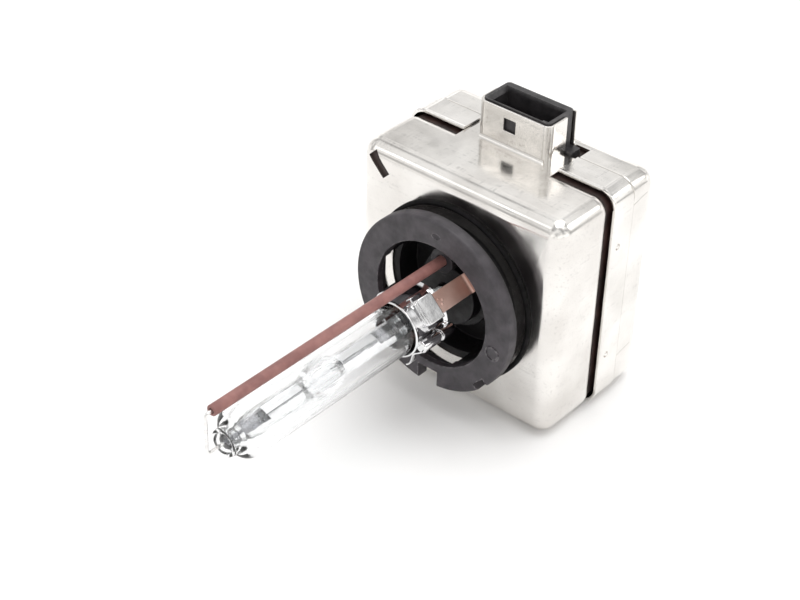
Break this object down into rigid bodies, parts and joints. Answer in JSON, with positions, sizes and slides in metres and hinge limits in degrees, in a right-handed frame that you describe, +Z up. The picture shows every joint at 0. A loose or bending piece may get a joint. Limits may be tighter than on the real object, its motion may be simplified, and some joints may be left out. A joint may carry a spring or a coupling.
{
  "type": "headlight bulb",
  "caption": "Gas-discharge headlamp bulb: glass burner with ceramic-sleeved return wire on a round black flange, with a square metal-clad igniter box and a plug socket on top.",
  "frame": {"origin": "on the bulb's axis, at the front edge of the flange's full-diameter seating land", "axes": "+X to the right seen from behind the burner's tip, +Y back from the flange into the igniter box, +Z up towards the plug socket; the burner points along -Y"},
  "size_m": [0.0436, 0.0847, 0.0504],
  "materials": {
    "black_plastic": "moulded, matt",
    "seal_rubber": "matt",
    "shield_metal": "nickel-plated drawn sheet, satin",
    "cover_metal": "nickel-plated drawn sheet, satin",
    "tub_plastic": "moulded, matt",
    "socket_plastic": "moulded, matt",
    "contact_metal": "tin-plated",
    "outer_glass": "clear, polished",
    "quartz": "clear, polished",
    "tungsten": "bare",
    "molybdenum": "bare",
    "wire_metal": "bare, bright",
    "sleeve_ceramic": "unglazed",
    "clip_metal": "polished spring steel",
    "lug_metal": "rolled strip, warm tint",
    "terminal_metal": "plated strip",
    "board_resin": "lacquered laminate",
    "ferrite": "sintered",
    "bobbin_plastic": "moulded",
    "copper": "enamelled copper wire",
    "white_ceramic": "unglazed",
    "capacitor_resin": "dipped film body",
    "resistor_lacquer": "lacquered"
  },
  "bodies": {
    "root": {"base_body": "black_plastic", "seal_ring": "seal_rubber", "front_shield": "shield_metal", "rear_cover": "cover_metal", "igniter_housing": "tub_plastic", "housing_lid": "tub_plastic", "socket_housing": "socket_plastic", "socket_pins": "contact_metal", "outer_bulb": "outer_glass", "arc_tube": "quartz", "front_electrode": "tungsten", "rear_electrode": "tungsten", "front_foil": "molybdenum", "rear_foil": "molybdenum", "front_lead": "molybdenum", "rear_lead": "molybdenum", "return_wire": "wire_metal", "ceramic_sleeve": "sleeve_ceramic", "burner_clip": "clip_metal", "support_lugs": "lug_metal", "hv_terminal": "terminal_metal", "return_terminal": "terminal_metal", "circuit_board": "board_resin", "transformer_core": "ferrite", "transformer_bobbin": "bobbin_plastic", "primary_winding": "copper", "secondary_winding": "copper", "spark_gap_tube": "white_ceramic", "spark_gap_caps": "terminal_metal", "pulse_capacitor": "capacitor_resin", "choke_core": "ferrite", "choke_winding": "copper", "bleed_resistor": "resistor_lacquer"}
  },
  "joints": []
}
